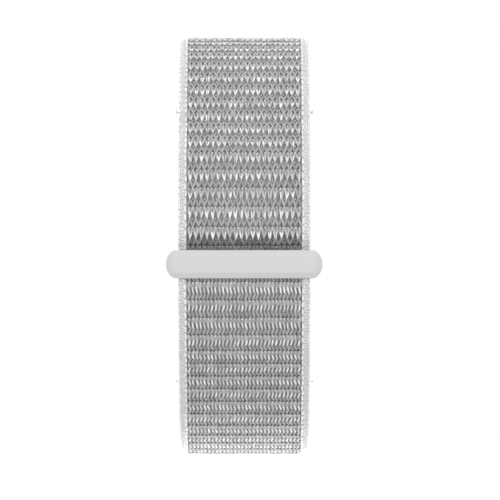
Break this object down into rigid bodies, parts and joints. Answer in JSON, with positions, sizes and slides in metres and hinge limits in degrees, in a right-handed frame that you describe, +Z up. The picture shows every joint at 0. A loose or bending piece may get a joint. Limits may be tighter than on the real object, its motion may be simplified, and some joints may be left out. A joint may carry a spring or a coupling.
{
  "type": "watch strap",
  "caption": "Woven hook and loop watch strap closed into a loop through a moulded ring, with quick-release spring bars.",
  "frame": {"origin": "midway between the axes of the two spring bars, on the strap's middle line", "axes": "+Z up, from the lower spring bar to the upper; +X across the strap; +Y from the ring to the watch head"},
  "size_m": [0.026, 0.0606, 0.0716],
  "materials": {
    "grey_weave": "ribbed weave",
    "loop_pile": "soft loop pile",
    "white_selvedge": "fine twill",
    "moulded_ring": "satin",
    "hook_patch": "moulded hooks",
    "spring_bar_steel": "turned"
  },
  "bodies": {
    "long_half": {"long_strap_face": "loop_pile", "long_strap_backing": "grey_weave", "long_strap_edge_left": "white_selvedge", "long_strap_edge_right": "white_selvedge", "ring_fold_face": "loop_pile", "ring_fold_backing": "grey_weave", "ring_fold_edge_left": "white_selvedge", "ring_fold_edge_right": "white_selvedge", "upper_tunnel": "grey_weave"},
    "tail": {"tail_face": "loop_pile", "tail_backing": "grey_weave", "tail_edge_left": "white_selvedge", "tail_edge_right": "white_selvedge"},
    "tail_end": {"tail_end_face": "loop_pile", "tail_end_backing": "grey_weave", "tail_end_edge_left": "white_selvedge", "tail_end_edge_right": "white_selvedge", "hook_patch": "hook_patch", "pull_tab": "moulded_ring"},
    "short_half": {"ring": "moulded_ring", "short_strap_face": "grey_weave", "short_strap_backing": "grey_weave", "short_strap_edge_left": "white_selvedge", "short_strap_edge_right": "white_selvedge", "lower_tunnel": "grey_weave"},
    "upper_bar": {"upper_bar_barrel": "spring_bar_steel", "upper_bar_fixed_tip": "spring_bar_steel", "upper_bar_spring": "spring_bar_steel"},
    "upper_release": {"upper_bar_sliding_tip": "spring_bar_steel", "upper_bar_release_knob": "spring_bar_steel"},
    "lower_bar": {"lower_bar_barrel": "spring_bar_steel", "lower_bar_fixed_tip": "spring_bar_steel", "lower_bar_spring": "spring_bar_steel"},
    "lower_release": {"lower_bar_sliding_tip": "spring_bar_steel", "lower_bar_release_knob": "spring_bar_steel"}
  },
  "joints": [
    {"name": "ring_pivot", "type": "hinge", "parent": "long_half", "child": "short_half", "pos_m": [0, -0.05295, -0.00295], "axis": [1, 0, 0], "range_deg": [0, 30]},
    {"name": "tail_lift", "type": "hinge", "parent": "long_half", "child": "tail", "pos_m": [0, -0.05722, 0.002], "axis": [1, 0, 0], "range_deg": [0, 110]},
    {"name": "tail_end_lift", "type": "hinge", "parent": "tail", "child": "tail_end", "pos_m": [0, -0.03112, 0.03271], "axis": [1, 0, 0], "range_deg": [0, 75]},
    {"name": "upper_bar_turn", "type": "hinge", "parent": "long_half", "child": "upper_bar", "pos_m": [0, 0, 0.0235], "axis": [1, 0, 0], "range_deg": [-18, 18]},
    {"name": "lower_bar_turn", "type": "hinge", "parent": "short_half", "child": "lower_bar", "pos_m": [0, 0, -0.0235], "axis": [1, 0, 0], "range_deg": [-18, 18]},
    {"name": "upper_bar_release", "type": "slide", "parent": "upper_bar", "child": "upper_release", "axis": [-1, 0, 0], "range_m": [0, 0.0013], "stiffness_N_per_m": 150, "springref_m": -0.002, "deforming": ["upper_bar_spring"]},
    {"name": "lower_bar_release", "type": "slide", "parent": "lower_bar", "child": "lower_release", "axis": [-1, 0, 0], "range_m": [0, 0.0013], "stiffness_N_per_m": 150, "springref_m": -0.002, "deforming": ["lower_bar_spring"]}
  ]
}
